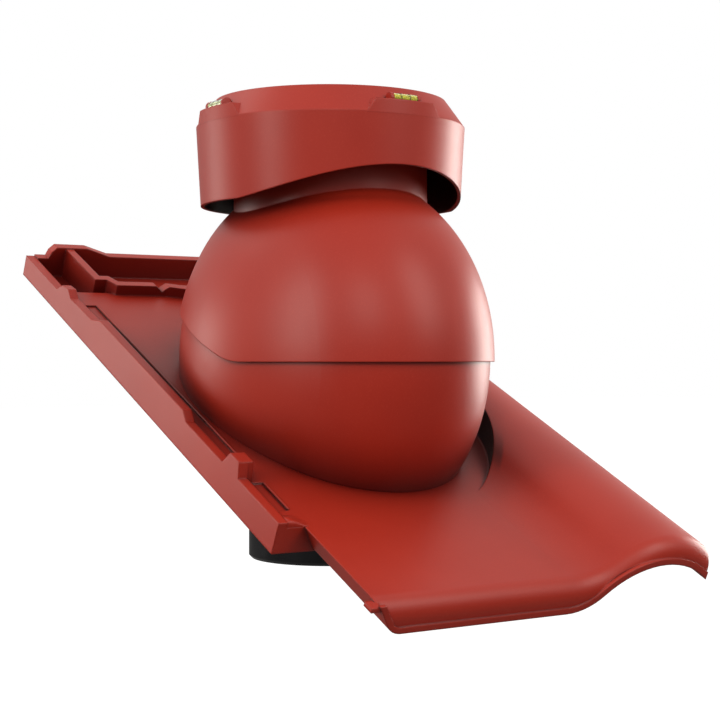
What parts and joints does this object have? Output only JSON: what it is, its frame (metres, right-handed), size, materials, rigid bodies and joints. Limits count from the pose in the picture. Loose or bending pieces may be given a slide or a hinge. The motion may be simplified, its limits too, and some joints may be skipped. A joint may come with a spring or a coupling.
{
  "type": "roof tile vent",
  "caption": "Moulded roof tile carrying a ball-shaped vent cowl, with a tilting hood, duct spigot, skirted rain cap and spirit levels.",
  "frame": {"origin": "middle of the flat seat under the tile's head, where the tile rests on the roof batten", "axes": "+Z plumb upwards, +X across the roof towards the roll, +Y horizontally towards the ridge"},
  "size_m": [0.265, 0.4779, 0.3229],
  "materials": {
    "tile_plastic": "satin brick red, finely grained",
    "cowl_plastic": "satin brick red, finely grained",
    "hood_plastic": "satin brick red, finely grained",
    "cap_plastic": "satin brick red, finely grained",
    "duct_plastic": "gloss black",
    "black_plastic": "matt black",
    "seal_rubber": "matt",
    "insulation_foam": "grey foam",
    "pin_steel": "turned",
    "vial_clear": "clear",
    "level_liquid": "yellow-green liquid"
  },
  "bodies": {
    "tile": {"tile_base": "tile_plastic", "base_cowl": "cowl_plastic", "cowl_gasket": "seal_rubber", "cowl_lock_ring": "black_plastic", "trunnion_bearing_left": "black_plastic", "trunnion_bearing_right": "black_plastic"},
    "hood": {"tilt_hood": "hood_plastic", "neck_insulation": "insulation_foam", "duct_pipe": "duct_plastic", "trunnion_collar": "black_plastic", "trunnion_pin_left": "pin_steel", "trunnion_pin_right": "pin_steel", "cap_spider": "black_plastic", "rain_cap": "cap_plastic", "vial_tube_front": "vial_clear", "vial_liquid_front": "level_liquid", "vial_tube_side": "vial_clear", "vial_liquid_side": "level_liquid", "vial_plug_front_left": "cap_plastic", "vial_plug_front_right": "cap_plastic", "vial_plug_side_left": "cap_plastic", "vial_plug_side_right": "cap_plastic"}
  },
  "joints": [
    {"name": "hood_tilt", "type": "hinge", "parent": "tile", "child": "hood", "pos_m": [0, -0.22931, -0.04605], "axis": [-1, 0, 0], "range_deg": [-10, 12]}
  ]
}
